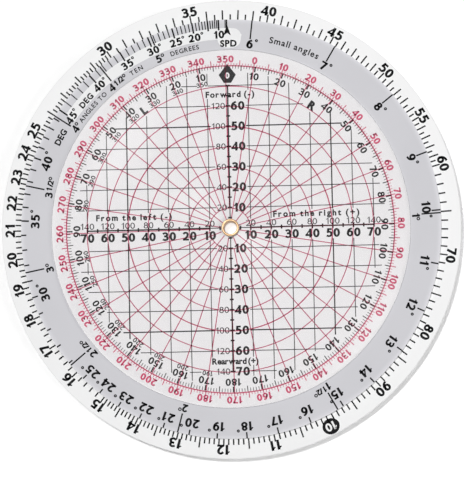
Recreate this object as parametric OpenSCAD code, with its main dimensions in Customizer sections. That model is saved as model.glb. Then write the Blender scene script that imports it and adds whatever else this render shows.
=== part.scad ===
// Two-sided circular slide rule: laminated printed discs, a clear compass-rose disc and a clear
// cursor arm turn on one hollow brass eyelet. Millimetres, +Z up towards the wind side.
// The origin is on the eyelet's axis, at the surface that its rolled rear end rests on.

/* [Base disc] */
// Diameter of the base disc
base_d = 101.6; // [96:0.1:130]
// Thickness of the base disc's white core
base_core_t = 0.6; // [0.4:0.05:1.5]
// Width of the base disc's front scale, outside the wind disc
front_scale_w = 4.37; // [3:0.01:8]
// Width of the base disc's rear scale, outside the calculator disc
rear_scale_w = 6.8; // [4:0.1:10]

/* [Laminate] */
// Thickness of each printed face sheet
face_t = 0.1; // [0.05:0.01:0.25]
// Chamfer that the cutting die leaves on the outer edge of a disc
edge_break = 0.04; // [0.01:0.01:0.08]

/* [Wind disc] */
// Thickness of the wind disc's white core
wind_core_t = 0.3; // [0.2:0.05:1]
// Width of the wind disc's grey ring, outside the rose disc
sine_scale_w = 6.73; // [4:0.01:10]

/* [Rose disc] */
// Thickness of the clear rose disc
rose_t = 0.45; // [0.25:0.05:1]

/* [Calculator disc] */
// Thickness of the calculator disc's white core
calculator_core_t = 0.3; // [0.2:0.05:1]
// Distance from the calculator disc's edge to the middle of a window
window_inset = 15.6; // [10:0.1:20]
// Radial width of a window
window_w = 3.6; // [2:0.1:5]
// Angle that a window spans
window_arc = 16; // [6:0.5:20]
// Number of windows
window_count = 3; // [1:1:6]

/* [Cursor] */
// Thickness of the cursor arm
cursor_t = 0.7; // [0.4:0.05:1.5]
// Diameter of the cursor's round hub
cursor_hub_d = 13; // [9:0.5:20]
// Width of the cursor arm where it leaves the hub
cursor_root_w = 10.5; // [6:0.5:13]
// Width of the cursor arm at its tip
cursor_tip_w = 8; // [4:0.5:13]
// Distance from the cursor's tip back to the rim of the base disc
cursor_setback = 0.6; // [0.2:0.1:3]
// Direction of the cursor arm, anticlockwise from +X
cursor_angle = 62; // [0:1:359]
// Width of the engraved hairline
hairline_w = 0.16; // [0.08:0.01:0.4]
// Depth of the engraved hairline
hairline_depth = 0.08; // [0.04:0.01:0.2]

/* [Eyelet] */
// Diameter of the eyelet's bore
eyelet_bore_d = 2.8; // [2:0.05:4]
// Wall of the eyelet's barrel
eyelet_wall = 0.2; // [0.15:0.01:0.4]
// How far the front flange stands out past the barrel
flange_overhang = 0.34; // [0.2:0.01:1]
// Height of the front flange
flange_h = 0.35; // [0.25:0.01:0.6]
// How far the middle of the front flange rises above its edges
flange_crown = 0.17; // [0.05:0.01:0.2]
// How far the rolled rear end stands out past the barrel
roll_overhang = 0.45; // [0.3:0.01:1]
// Height of the rolled rear end
roll_h = 0.45; // [0.3:0.01:0.8]
// How far the edges of the rolled end lie above its flat
roll_crown = 0.15; // [0.05:0.01:0.25]
// Width of the flat that the clinching tool leaves on the rolled end
roll_flat_w = 0.4; // [0.1:0.01:0.45]

/* [Washers] */
// Thickness of the brass clinch washer
clinch_washer_t = 0.2; // [0.1:0.05:0.6]
// Radial width of the clinch washer
clinch_washer_w = 1.2; // [0.7:0.1:2.5]
// Thickness of a plastic slip washer
slip_washer_t = 0.1; // [0.05:0.01:0.3]
// Radial width of a slip washer
slip_washer_w = 4.4; // [1.5:0.1:8]

/* [Clearances] */
// Radial clearance between the barrel and a piece that turns on it
running_clearance = 0.05; // [0.02:0.01:0.1]
// Radial clearance between the barrel and a piece that stays with it
fixed_clearance = 0.02; // [0.01:0.01:0.05]
// Axial play between faces that turn on each other
axial_play = 0.03; // [0.01:0.01:0.1]

/* [Hidden] */
$fn = 128;
// Length past a face that a cut runs
cut_over = 1;

bore_r = eyelet_bore_d / 2;
barrel_r = bore_r + eyelet_wall;
flange_r = barrel_r + flange_overhang;
roll_r = barrel_r + roll_overhang;
turning_hole_r = barrel_r + running_clearance;
fixed_hole_r = barrel_r + fixed_clearance;

base_r = base_d / 2;
wind_r = base_r - front_scale_w;
rose_r = wind_r - sine_scale_w;
calculator_r = base_r - rear_scale_w;
cursor_tip_r = base_r - cursor_setback;
window_r = calculator_r - window_inset;

base_t = base_core_t + 2 * face_t;
wind_t = wind_core_t + 2 * face_t;
calculator_t = calculator_core_t + 2 * face_t;

// Heights of the stack, from the rolled end of the eyelet up to its front flange
clinch_washer_z = roll_h;
cursor_z = clinch_washer_z + clinch_washer_t + axial_play;
cursor_slip_washer_z = cursor_z + cursor_t + axial_play;
calculator_z = cursor_slip_washer_z + slip_washer_t + axial_play;
rear_slip_washer_z = calculator_z + calculator_t + axial_play;
base_z = rear_slip_washer_z + slip_washer_t;
front_slip_washer_z = base_z + base_t;
wind_z = front_slip_washer_z + slip_washer_t + axial_play;
rose_z = wind_z + wind_t + axial_play;
flange_z = rose_z + rose_t + axial_play;

// Upright edge at radius r from height 0 to t, with a chamfer at either end
function rim(r, t, bottom_break, top_break) = concat(
    bottom_break > 0 ? [[r - bottom_break, 0], [r, bottom_break]] : [[r, 0]],
    top_break > 0 ? [[r, t - top_break], [r - top_break, t]] : [[r, t]]
);

// Round sheet with a hole in the middle
module sheet(r, hole_r, t, bottom_break = 0, top_break = 0) {
    rotate_extrude()
        polygon(concat([[hole_r, 0]], rim(r, t, bottom_break, top_break), [[hole_r, t]]));
}

// Face sheet under a core: its lower outer edge is the laminate's edge
module lower_face(r, hole_r) {
    sheet(r, hole_r, face_t, bottom_break = edge_break);
}

// Face sheet over a core: its upper outer edge is the laminate's edge
module upper_face(r, hole_r) {
    sheet(r, hole_r, face_t, top_break = edge_break);
}

module slip_washer(hole_r) {
    sheet(hole_r + slip_washer_w, hole_r, slip_washer_t);
}

// Sector of a disc of radius r, from -half to half degrees about +X
module sector(r, half) {
    intersection() {
        circle(r);
        polygon([[0, 0], [2 * r, -2 * r * tan(half)], [2 * r, 2 * r * tan(half)]]);
    }
}

// Window that follows a circle, with radial ends
module window_outline() {
    difference() {
        sector(window_r + window_w / 2, window_arc / 2);
        circle(window_r - window_w / 2);
    }
}

// Cuts the reading windows through a layer of the calculator disc, of thickness t
module with_windows(t) {
    difference() {
        children();
        for (i = [0 : window_count - 1])
            rotate(i * 360 / window_count)
                translate([0, 0, -cut_over])
                    linear_extrude(t + 2 * cut_over)
                        window_outline();
    }
}

module base_core() {
    color("white")
        translate([0, 0, base_z + face_t])
            sheet(base_r, fixed_hole_r, base_core_t);
}

module base_front_face() {
    color("whitesmoke")
        translate([0, 0, base_z + face_t + base_core_t])
            upper_face(base_r, fixed_hole_r);
}

module base_rear_face() {
    color("whitesmoke")
        translate([0, 0, base_z])
            lower_face(base_r, fixed_hole_r);
}

module wind_disc_core() {
    color("white")
        translate([0, 0, wind_z + face_t])
            sheet(wind_r, turning_hole_r, wind_core_t);
}

module wind_disc_front_face() {
    color("lightgray")
        translate([0, 0, wind_z + face_t + wind_core_t])
            upper_face(wind_r, turning_hole_r);
}

module wind_disc_rear_face() {
    color("whitesmoke")
        translate([0, 0, wind_z])
            lower_face(wind_r, turning_hole_r);
}

module rose_disc() {
    color("mistyrose", 0.4)
        translate([0, 0, rose_z])
            sheet(rose_r, turning_hole_r, rose_t, edge_break, edge_break);
}

module calculator_disc_core() {
    color("white")
        translate([0, 0, calculator_z + face_t])
            with_windows(calculator_core_t)
                sheet(calculator_r, turning_hole_r, calculator_core_t);
}

module calculator_disc_outer_face() {
    color("whitesmoke")
        translate([0, 0, calculator_z])
            with_windows(face_t)
                lower_face(calculator_r, turning_hole_r);
}

module calculator_disc_inner_face() {
    color("whitesmoke")
        translate([0, 0, calculator_z + face_t + calculator_core_t])
            with_windows(face_t)
                upper_face(calculator_r, turning_hole_r);
}

// Arm along +X, as wide as its hub allows at the root and cut round at the tip
module cursor_outline() {
    circle(d = cursor_hub_d);
    intersection() {
        circle(cursor_tip_r);
        polygon([
            [0, -cursor_root_w / 2], [cursor_tip_r, -cursor_tip_w / 2],
            [cursor_tip_r, cursor_tip_w / 2], [0, cursor_root_w / 2]
        ]);
    }
}

module cursor() {
    hairline_start = cursor_hub_d / 2;
    color("aliceblue", 0.4)
        translate([0, 0, cursor_z])
            rotate(cursor_angle)
                difference() {
                    linear_extrude(cursor_t)
                        cursor_outline();
                    translate([0, 0, -cut_over])
                        cylinder(r = turning_hole_r, h = cursor_t + 2 * cut_over);
                    translate([hairline_start, -hairline_w / 2, cursor_t - hairline_depth])
                        cube([cursor_tip_r, hairline_w, hairline_depth + cut_over]);
                }
}

// Section of the domed front flange, standing on height 0
module flange_section() {
    half = (flange_r - bore_r) / 2;
    dome_r = (half * half + flange_crown * flange_crown) / (2 * flange_crown);
    intersection() {
        translate([bore_r, 0])
            square([2 * half, flange_h]);
        union() {
            translate([bore_r + half, flange_h - dome_r])
                circle(dome_r);
            translate([bore_r, 0])
                square([2 * half, flange_h - flange_crown]);
        }
    }
}

// Section of the rolled rear end: its flat is on height 0 and its edges curl up from there
module roll_section() {
    half = (roll_r - bore_r) / 2;
    flat_half = roll_flat_w / 2;
    curl_z = (half * half - flat_half * flat_half + roll_crown * roll_crown) / (2 * roll_crown);
    curl_r = sqrt(flat_half * flat_half + curl_z * curl_z);
    intersection() {
        translate([bore_r, 0])
            square([2 * half, roll_h]);
        union() {
            translate([bore_r + half, curl_z])
                circle(curl_r);
            translate([bore_r, roll_crown])
                square([2 * half, roll_h]);
        }
    }
}

module eyelet() {
    color("goldenrod")
        rotate_extrude() {
            roll_section();
            translate([bore_r, roll_crown])
                square([eyelet_wall, flange_z + flange_h - flange_crown - roll_crown]);
            translate([0, flange_z])
                flange_section();
        }
}

module clinch_washer() {
    color("darkgoldenrod")
        translate([0, 0, clinch_washer_z])
            sheet(fixed_hole_r + clinch_washer_w, fixed_hole_r, clinch_washer_t);
}

module front_slip_washer() {
    color("ivory")
        translate([0, 0, front_slip_washer_z])
            slip_washer(fixed_hole_r);
}

module rear_slip_washer() {
    color("ivory")
        translate([0, 0, rear_slip_washer_z])
            slip_washer(fixed_hole_r);
}

module cursor_slip_washer() {
    color("ivory")
        translate([0, 0, cursor_slip_washer_z])
            slip_washer(fixed_hole_r);
}

base_core();
base_front_face();
base_rear_face();
wind_disc_core();
wind_disc_front_face();
wind_disc_rear_face();
rose_disc();
calculator_disc_core();
calculator_disc_outer_face();
calculator_disc_inner_face();
cursor();
eyelet();
clinch_washer();
front_slip_washer();
rear_slip_washer();
cursor_slip_washer();
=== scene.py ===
import math

import bpy
from mathutils import Matrix, Vector
from mathutils.geometry import tessellate_polygon


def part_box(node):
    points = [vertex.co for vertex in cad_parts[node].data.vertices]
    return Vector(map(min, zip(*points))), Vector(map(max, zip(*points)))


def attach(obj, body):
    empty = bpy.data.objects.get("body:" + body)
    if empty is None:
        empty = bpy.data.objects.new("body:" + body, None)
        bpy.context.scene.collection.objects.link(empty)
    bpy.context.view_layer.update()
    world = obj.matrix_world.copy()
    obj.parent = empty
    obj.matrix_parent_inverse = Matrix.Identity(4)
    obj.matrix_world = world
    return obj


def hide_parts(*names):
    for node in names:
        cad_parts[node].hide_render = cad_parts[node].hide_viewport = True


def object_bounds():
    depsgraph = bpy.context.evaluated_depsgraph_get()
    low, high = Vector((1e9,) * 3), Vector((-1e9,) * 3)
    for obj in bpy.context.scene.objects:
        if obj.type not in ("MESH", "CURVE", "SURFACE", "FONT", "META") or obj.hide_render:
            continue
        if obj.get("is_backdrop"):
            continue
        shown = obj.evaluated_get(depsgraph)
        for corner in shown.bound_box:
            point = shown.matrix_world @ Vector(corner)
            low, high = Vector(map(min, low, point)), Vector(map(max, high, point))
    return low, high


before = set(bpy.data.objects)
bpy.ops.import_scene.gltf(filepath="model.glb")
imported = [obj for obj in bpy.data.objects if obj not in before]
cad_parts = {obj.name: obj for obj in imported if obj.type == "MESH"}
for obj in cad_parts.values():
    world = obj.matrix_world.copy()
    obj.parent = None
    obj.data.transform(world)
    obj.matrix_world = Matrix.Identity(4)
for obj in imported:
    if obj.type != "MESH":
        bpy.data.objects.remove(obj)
cad_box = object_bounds()
bpy.context.scene.view_settings.view_transform = "Standard"

# Base disc core
# The stiff middle of the base disc: white vinyl sheet, die-cut round and punched for the eyelet.
# A printed face sheet is laminated to each side of it, and the other discs turn against those.
MM = 0.001
RIM_STEPS = 360
EDGE_STEPS = 3
SMOOTH_ANGLE = 35
FIXED_HOLE_R = 1.62
CORE_EDGE = 0.05
SATIN_SHINE = 0.35
PATCH_DETAIL = 3.0
GRAIN_DETAIL = 4.0
# most of a noise lies between these values
NOISE_LOW = 0.3
NOISE_HIGH = 0.7


def cloud(tree, features_per_m, detail):
    """Soft noise on the piece's own coordinates."""
    place = tree.nodes.new("ShaderNodeTexCoord")
    noise = tree.nodes.new("ShaderNodeTexNoise")
    noise.inputs["Scale"].default_value = features_per_m
    noise.inputs["Detail"].default_value = detail
    tree.links.new(place.outputs["Object"], noise.inputs["Vector"])
    return noise.outputs["Fac"]


def spread(tree, factor, low, high):
    """Stretches the middle of a noise over a range of values."""
    node = tree.nodes.new("ShaderNodeMapRange")
    node.inputs["From Min"].default_value = NOISE_LOW
    node.inputs["From Max"].default_value = NOISE_HIGH
    node.inputs["To Min"].default_value = low
    node.inputs["To Max"].default_value = high
    tree.links.new(factor, node.inputs["Value"])
    return node.outputs["Result"]


def two_tones(tree, factor, first, second):
    """A colour that wanders between two tones."""
    mix = tree.nodes.new("ShaderNodeMix")
    mix.data_type = "RGBA"
    mix.inputs[6].default_value = (*first, 1)
    mix.inputs[7].default_value = (*second, 1)
    tree.links.new(factor, mix.inputs[0])
    return mix.outputs[2]


def satin(name, tones, gloss, patch, grain, depth, shine=SATIN_SHINE):
    """A satin plastic or ink: patches between two tones, uneven gloss and a fine grain, sizes in mm."""
    finish = bpy.data.materials.new(name)
    finish.use_nodes = True
    tree = finish.node_tree
    skin = tree.nodes["Principled BSDF"]
    skin.inputs["Specular IOR Level"].default_value = shine
    patches = spread(tree, cloud(tree, 1 / (patch * MM), PATCH_DETAIL), 0.0, 1.0)
    tree.links.new(two_tones(tree, patches, *tones), skin.inputs["Base Color"])
    fine = cloud(tree, 1 / (grain * MM), GRAIN_DETAIL)
    tree.links.new(spread(tree, fine, *gloss), skin.inputs["Roughness"])
    bump = tree.nodes.new("ShaderNodeBump")
    bump.inputs["Distance"].default_value = depth * MM
    tree.links.new(fine, bump.inputs["Height"])
    tree.links.new(bump.outputs["Normal"], skin.inputs["Normal"])
    return finish


def sheet_profile(hole_r, rim_r, low, high, edge):
    """The cross-section of a round sheet with softened edges, as radius and height."""
    corners = (
        (rim_r - edge, low + edge),
        (rim_r - edge, high - edge),
        (hole_r + edge, high - edge),
        (hole_r + edge, low + edge),
    )
    profile = []
    for corner, (r, z) in enumerate(corners):
        for step in range(EDGE_STEPS + 1):
            angle = math.radians(90 * (corner - 1 + step / EDGE_STEPS))
            profile.append((r + edge * math.cos(angle), z + edge * math.sin(angle)))
    return profile


def add_piece(name, points, faces, finish):
    """A piece of the rule from points in metres, with round stretches shaded smooth."""
    mesh = bpy.data.meshes.new(name)
    mesh.from_pydata(points, [], faces)
    mesh.materials.append(finish)
    mesh.shade_smooth()
    mesh.set_sharp_from_angle(angle=math.radians(SMOOTH_ANGLE))
    piece = bpy.data.objects.new(name, mesh)
    bpy.context.collection.objects.link(piece)
    return piece


def turned(name, profile, finish, steps=RIM_STEPS):
    """A closed piece made by taking a cross-section in mm once round the eyelet's axis."""
    points = []
    faces = []
    size = len(profile)
    for step in range(steps):
        angle = 2 * math.pi * step / steps
        here = step * size
        there = (step + 1) % steps * size
        for r, z in profile:
            points.append((r * math.cos(angle) * MM, r * math.sin(angle) * MM, z * MM))
        for k in range(size):
            after = (k + 1) % size
            faces.append((here + k, there + k, there + after, here + after))
    return add_piece(name, points, faces, finish)


def round_sheet(name, node, hole_r, edge, finish, steps=RIM_STEPS):
    """A round sheet in the place of its CAD node, with a punched hole."""
    low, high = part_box(node)
    profile = sheet_profile(hole_r, high.y / MM, low.z / MM, high.z / MM, edge)
    return turned(name, profile, finish, steps)


white_vinyl = satin(
    "white_vinyl",
    tones=((0.88, 0.88, 0.87), (0.91, 0.91, 0.905)),
    gloss=(0.40, 0.55),
    patch=9.0,
    grain=0.25,
    depth=0.004,
)
base_core = round_sheet("base_core_sheet", "base_core", FIXED_HOLE_R, CORE_EDGE, white_vinyl)
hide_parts("base_core")
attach(base_core, "base")

# Base disc front face
# A thin white vinyl sheet, printed and varnished, then laminated to the front of the core.
# Its rim carries the fixed logarithmic scale; the wind disc covers the rest.
# The very edge of the sheet is painted a little darker: painted shade along the rim.
FACE_EDGE = 0.03
RIM_SHADE = -0.25
RIM_SHADE_R = 50.6


def maths(tree, operation, *values):
    """A math node in a node tree, fed by numbers or by other nodes."""
    node = tree.nodes.new("ShaderNodeMath")
    node.operation = operation
    for socket, value in zip(node.inputs, values):
        if isinstance(value, bpy.types.NodeSocket):
            tree.links.new(value, socket)
        else:
            socket.default_value = value
    return node.outputs[0]


def fade_to_rim(finish, start_r, rim_r, gain):
    """Lets the tone of a round sheet or print change by a share from a radius in mm to its rim."""
    tree = finish.node_tree
    tone_socket = tree.nodes["Principled BSDF"].inputs["Base Color"]
    tone = tone_socket.links[0].from_socket
    flat = tree.nodes.new("ShaderNodeVectorMath")
    flat.operation = "MULTIPLY"
    flat.inputs[1].default_value = (1, 1, 0)
    tree.links.new(tree.nodes.new("ShaderNodeTexCoord").outputs["Object"], flat.inputs[0])
    radius = tree.nodes.new("ShaderNodeVectorMath")
    radius.operation = "LENGTH"
    tree.links.new(flat.outputs["Vector"], radius.inputs[0])
    share = tree.nodes.new("ShaderNodeMapRange")
    share.inputs["From Min"].default_value = start_r * MM
    share.inputs["From Max"].default_value = rim_r * MM
    tree.links.new(radius.outputs["Value"], share.inputs["Value"])
    steep = maths(tree, "MULTIPLY", share.outputs["Result"], share.outputs["Result"])
    scaled = tree.nodes.new("ShaderNodeVectorMath")
    scaled.operation = "SCALE"
    tree.links.new(tone, scaled.inputs[0])
    tree.links.new(maths(tree, "MULTIPLY_ADD", steep, gain, 1), scaled.inputs["Scale"])
    tree.links.new(scaled.outputs["Vector"], tone_socket)


def printed_face(name, first, second):
    """White vinyl face sheet under satin varnish, between two tones."""
    return satin(name, tones=(first, second), gloss=(0.50, 0.62), patch=14.0, grain=0.18, depth=0.002)


white_face = printed_face("white_face", (0.915, 0.915, 0.916), (0.935, 0.935, 0.936))
# painted shade: the face sheet's tone darkens over the last fifth of a millimetre out to the base's rim
fade_to_rim(white_face, RIM_SHADE_R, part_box("base_front_face")[1].y / MM, RIM_SHADE)
base_front = round_sheet("base_front_sheet", "base_front_face", FIXED_HOLE_R, FACE_EDGE, white_face)
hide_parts("base_front_face")
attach(base_front, "base")

# Fixed scale on the base front
# Black screen-print ink: marks spaced by logarithms once round the rim, with bold numbers outside them.
# The index of ten is a white number left open in a black spot.
INK_T = 0.008
INK_KEY = 0.002
INK_SHINE = 0.06
OVERPRINT_T = 2 * INK_T
BASE_TURN = 153.0
BASE_REGISTER = (0.0, 0.14)
MARK_W = 0.32
BASE_NUMBER_R = 48.95
BASE_NUMBER_CAP = 2.18
BASE_MARK_OVERLAP = 0.6
INDEX_SPOT_HALF_W = 1.93
INDEX_SPOT_HALF_H = 1.74
INDEX_SPOT_AT = 49.05
INDEX_CAP = 1.85
INDEX_STEM = 0.235
RULE_ROWS = (
    # first value, step, count, length in mm, marks left out as (every, from)
    (10, 0.1, 51, 1.45, (5, 0)),
    (10.5, 1, 5, 2.48, None),
    (15, 0.2, 51, 1.35, (5, 0)),
    (25, 0.2, 26, 1.18, (5, 0)),
    (26, 1, 4, 2.05, None),
    (30.5, 1, 30, 1.15, None),
    (31, 1, 29, 2.10, (5, 1)),
    (61, 1, 39, 1.52, (5, 1)),
    (65, 10, 4, 2.38, None),
    (10, 1, 16, 1.75, None),
    (30, 5, 7, 1.75, None),
    (70, 10, 3, 1.75, None),
)
RULE_NUMBERS = (*range(11, 26), *range(30, 60, 5), *range(60, 100, 10))
FIGURE_W = 0.74
FIGURE_ADVANCE = 0.83
NARROW_ADVANCES = {"1": 0.62, "/": 0.44}
BOLD_STEM = 0.262
PEN_FLATNESS = 0.80
FINE_STROKE = 0.6
CURVE_STEPS = 6
OVAL_STEPS = 24
SMALL_ROUND_STEPS = 48
# pen strokes in a unit box: a pair ends a straight line, three pairs a curve, and four numbers are
# an oval's middle and half sizes
FIGURES = {
    "0": [(0.5, 0.5, 0.5, 0.5)],
    "1": [[(0.46, 0.0), (0.46, 1.0)]],
    "2": [
        [
            (0.10, 0.90),
            ((0.22, 0.97), (0.34, 1.0), (0.46, 1.0)),
            ((0.76, 1.0), (0.92, 0.88), (0.92, 0.71)),
            ((0.92, 0.46), (0.62, 0.30), (0.14, 0.04)),
        ],
        [(0.06, 0.0), (0.94, 0.0)],
    ],
    "3": [
        [
            (0.14, 0.95),
            ((0.24, 0.98), (0.34, 1.0), (0.46, 1.0)),
            ((0.74, 1.0), (0.90, 0.90), (0.90, 0.77)),
            ((0.90, 0.62), (0.72, 0.54), (0.46, 0.54)),
        ],
        [
            (0.46, 0.54),
            ((0.78, 0.54), (1.0, 0.44), (1.0, 0.27)),
            ((1.0, 0.10), (0.78, 0.0), (0.45, 0.0)),
            ((0.32, 0.0), (0.20, 0.02), (0.12, 0.05)),
        ],
    ],
    "4": [[(0.84, 0.0), (0.84, 1.0)], [(-0.06, 0.22), (1.02, 0.22)]],
    "5": [
        [(0.32, 1.0), (0.82, 1.0)],
        [(0.26, 0.96), (0.20, 0.62)],
        [
            (0.22, 0.59),
            ((0.30, 0.61), (0.36, 0.62), (0.44, 0.62)),
            ((0.80, 0.62), (1.0, 0.49), (1.0, 0.31)),
            ((1.0, 0.12), (0.76, 0.0), (0.44, 0.0)),
            ((0.30, 0.0), (0.20, 0.02), (0.12, 0.04)),
        ],
    ],
    "6": [(0.52, 0.32, 0.48, 0.32), [(0.76, 0.99), ((0.42, 0.94), (0.04, 0.74), (0.04, 0.34))]],
    "7": [[(0.06, 1.0), (0.94, 1.0)], [(0.92, 0.94), (0.40, 0.04)]],
    "8": [(0.5, 0.77, 0.40, 0.23), (0.5, 0.27, 0.48, 0.27)],
    "9": [(0.48, 0.68, 0.48, 0.32), [(0.24, 0.01), ((0.58, 0.06), (0.96, 0.26), (0.96, 0.66))]],
    "-": [[(0.22, 0.42), (0.78, 0.42)]],
    "/": [[(0.24, 0.02), (0.76, 0.98)]],
    ":": [(0.5, 0.70, 0.06, 0.04), (0.5, 0.12, 0.06, 0.04)],
}
# strokes that the pen draws lightly, so that bold figures stay open
FINE_STROKES = {"1": [[(0.0, 0.76), (0.40, 0.98)]], "4": [[(0.74, 0.98), (-0.08, 0.27)]]}
ROW_SOCKETS = (
    ("First", "NodeSocketFloat"),
    ("Step", "NodeSocketFloat"),
    ("Count", "NodeSocketInt"),
    ("Skip Every", "NodeSocketInt"),
    ("Skip From", "NodeSocketInt"),
    ("Near Radius", "NodeSocketFloat"),
    ("Far Radius", "NodeSocketFloat"),
    ("Width", "NodeSocketFloat"),
    ("Low", "NodeSocketFloat"),
    ("High", "NodeSocketFloat"),
    ("Ink", "NodeSocketMaterial"),
)


def clock(angle, radius):
    """The point at a radius and at an angle in degrees, clockwise from the top."""
    turn = math.radians(angle)
    return radius * math.sin(turn), radius * math.cos(turn)


def arc(radius, start, end, steps):
    """Points along an arc, clockwise, with both its ends."""
    return [clock(start + (end - start) * i / steps, radius) for i in range(steps + 1)]


def even_angle(value):
    return value


def log_angle(value):
    return 360 * math.log10(value)


def sine_angle(value):
    return 360 * math.log10(math.sin(math.radians(value)))


def cosine_angle(value):
    return 360 * math.log10(math.cos(math.radians(value)))


def share_of_turn(tree, law, value):
    """The nodes that turn a mark's value into its share of a full turn."""
    if law is even_angle:
        return maths(tree, "DIVIDE", value, 360)
    if law is sine_angle:
        value = maths(tree, "SINE", maths(tree, "RADIANS", value))
    if law is cosine_angle:
        value = maths(tree, "COSINE", maths(tree, "RADIANS", value))
    return maths(tree, "LOGARITHM", value, 10)


def vector(tree, x, y, z):
    """A combine node fed by numbers or by other nodes."""
    node = tree.nodes.new("ShaderNodeCombineXYZ")
    for socket, value in zip(node.inputs, (x, y, z)):
        if isinstance(value, bpy.types.NodeSocket):
            tree.links.new(value, socket)
        else:
            socket.default_value = value
    return node.outputs[0]


def scale_row_tree(law):
    """Geometry nodes for one row of scale marks: bars that point at the axis, spaced by a law."""
    tree = bpy.data.node_groups.new(law.__name__ + "_row", "GeometryNodeTree")
    for socket, kind in ROW_SOCKETS:
        tree.interface.new_socket(socket, in_out="INPUT", socket_type=kind)
    tree.interface.new_socket("Row", in_out="OUTPUT", socket_type="NodeSocketGeometry")
    size = tree.nodes.new("NodeGroupInput").outputs
    index = tree.nodes.new("GeometryNodeInputIndex").outputs[0]

    value = maths(tree, "MULTIPLY_ADD", index, size["Step"], size["First"])
    angle = maths(tree, "MULTIPLY", share_of_turn(tree, law, value), 2 * math.pi)
    middle = maths(tree, "MULTIPLY", maths(tree, "ADD", size["Near Radius"], size["Far Radius"]), 0.5)
    height = maths(tree, "MULTIPLY", maths(tree, "ADD", size["Low"], size["High"]), 0.5)
    across = maths(tree, "MULTIPLY", middle, maths(tree, "SINE", angle))
    up = maths(tree, "MULTIPLY", middle, maths(tree, "COSINE", angle))

    marks = tree.nodes.new("GeometryNodePoints")
    tree.links.new(size["Count"], marks.inputs["Count"])
    tree.links.new(vector(tree, across, up, height), marks.inputs["Position"])

    skip = tree.nodes.new("GeometryNodeDeleteGeometry")
    place_in_row = maths(tree, "ADD", index, size["Skip From"])
    left_over = maths(tree, "FLOORED_MODULO", place_in_row, size["Skip Every"])
    tree.links.new(marks.outputs[0], skip.inputs["Geometry"])
    tree.links.new(maths(tree, "LESS_THAN", left_over, 0.5), skip.inputs["Selection"])

    bar = tree.nodes.new("GeometryNodeMeshCube")
    length = maths(tree, "SUBTRACT", size["Far Radius"], size["Near Radius"])
    thickness = maths(tree, "SUBTRACT", size["High"], size["Low"])
    tree.links.new(vector(tree, size["Width"], length, thickness), bar.inputs["Size"])

    where = tree.nodes.new("ShaderNodeSeparateXYZ")
    tree.links.new(tree.nodes.new("GeometryNodeInputPosition").outputs[0], where.inputs[0])
    heading = maths(tree, "ARCTAN2", where.outputs[0], where.outputs[1])
    turn = vector(tree, 0, 0, maths(tree, "MULTIPLY", heading, -1))

    row = tree.nodes.new("GeometryNodeInstanceOnPoints")
    tree.links.new(skip.outputs[0], row.inputs["Points"])
    tree.links.new(bar.outputs["Mesh"], row.inputs["Instance"])
    tree.links.new(turn, row.inputs["Rotation"])
    real = tree.nodes.new("GeometryNodeRealizeInstances")
    tree.links.new(row.outputs[0], real.inputs[0])
    inked = tree.nodes.new("GeometryNodeSetMaterial")
    tree.links.new(real.outputs[0], inked.inputs["Geometry"])
    tree.links.new(size["Ink"], inked.inputs["Material"])
    tree.links.new(inked.outputs[0], tree.nodes.new("NodeGroupOutput").inputs["Row"])
    return tree


row_trees = {law: scale_row_tree(law) for law in (even_angle, log_angle, sine_angle, cosine_angle)}


def made_by(tree, sizes):
    """The plain mesh that a geometry tree makes from named sizes."""
    holder = bpy.data.objects.new("row", bpy.data.meshes.new("row"))
    bpy.context.collection.objects.link(holder)
    rule = holder.modifiers.new("row", "NODES")
    rule.node_group = tree
    for socket in tree.interface.items_tree:
        if socket.in_out == "INPUT":
            rule[socket.identifier] = sizes[socket.name]
    graph = bpy.context.evaluated_depsgraph_get()
    mesh = bpy.data.meshes.new_from_object(holder.evaluated_get(graph))
    bpy.data.objects.remove(holder)
    return mesh


def pen_points(stroke):
    """The points of an open pen stroke, with its curves drawn out."""
    points = [stroke[0]]
    for part in stroke[1:]:
        if len(part) == 2:
            points.append(part)
            continue
        (ax, ay), (bx, by), (cx, cy), (dx, dy) = points[-1], *part
        for step in range(1, CURVE_STEPS + 1):
            t = step / CURVE_STEPS
            s = 1 - t
            x = s**3 * ax + 3 * s * s * t * bx + 3 * s * t * t * cx + t**3 * dx
            y = s**3 * ay + 3 * s * s * t * by + 3 * s * t * t * cy + t**3 * dy
            points.append((x, y))
    return points


def pen_sides(points, stem, closed):
    """The right and left sides of a stroke by a flat oval pen; an open one is squared off past its ends."""
    size = len(points)
    sides = [], []
    for i, (x, y) in enumerate(points):
        before = points[i - 1] if closed or i else points[0]
        after = points[(i + 1) % size] if closed or i < size - 1 else points[-1]
        dx, dy = after[0] - before[0], after[1] - before[1]
        length = math.hypot(dx, dy)
        dx, dy = dx / length * stem / 2, dy / length * stem / 2
        if not closed:
            past = (i == size - 1) - (i == 0)
            x, y = x + past * dx, y + past * dy * PEN_FLATNESS
        sides[0].append((x + dy, y - dx * PEN_FLATNESS))
        sides[1].append((x - dy, y + dx * PEN_FLATNESS))
    return sides


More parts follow.
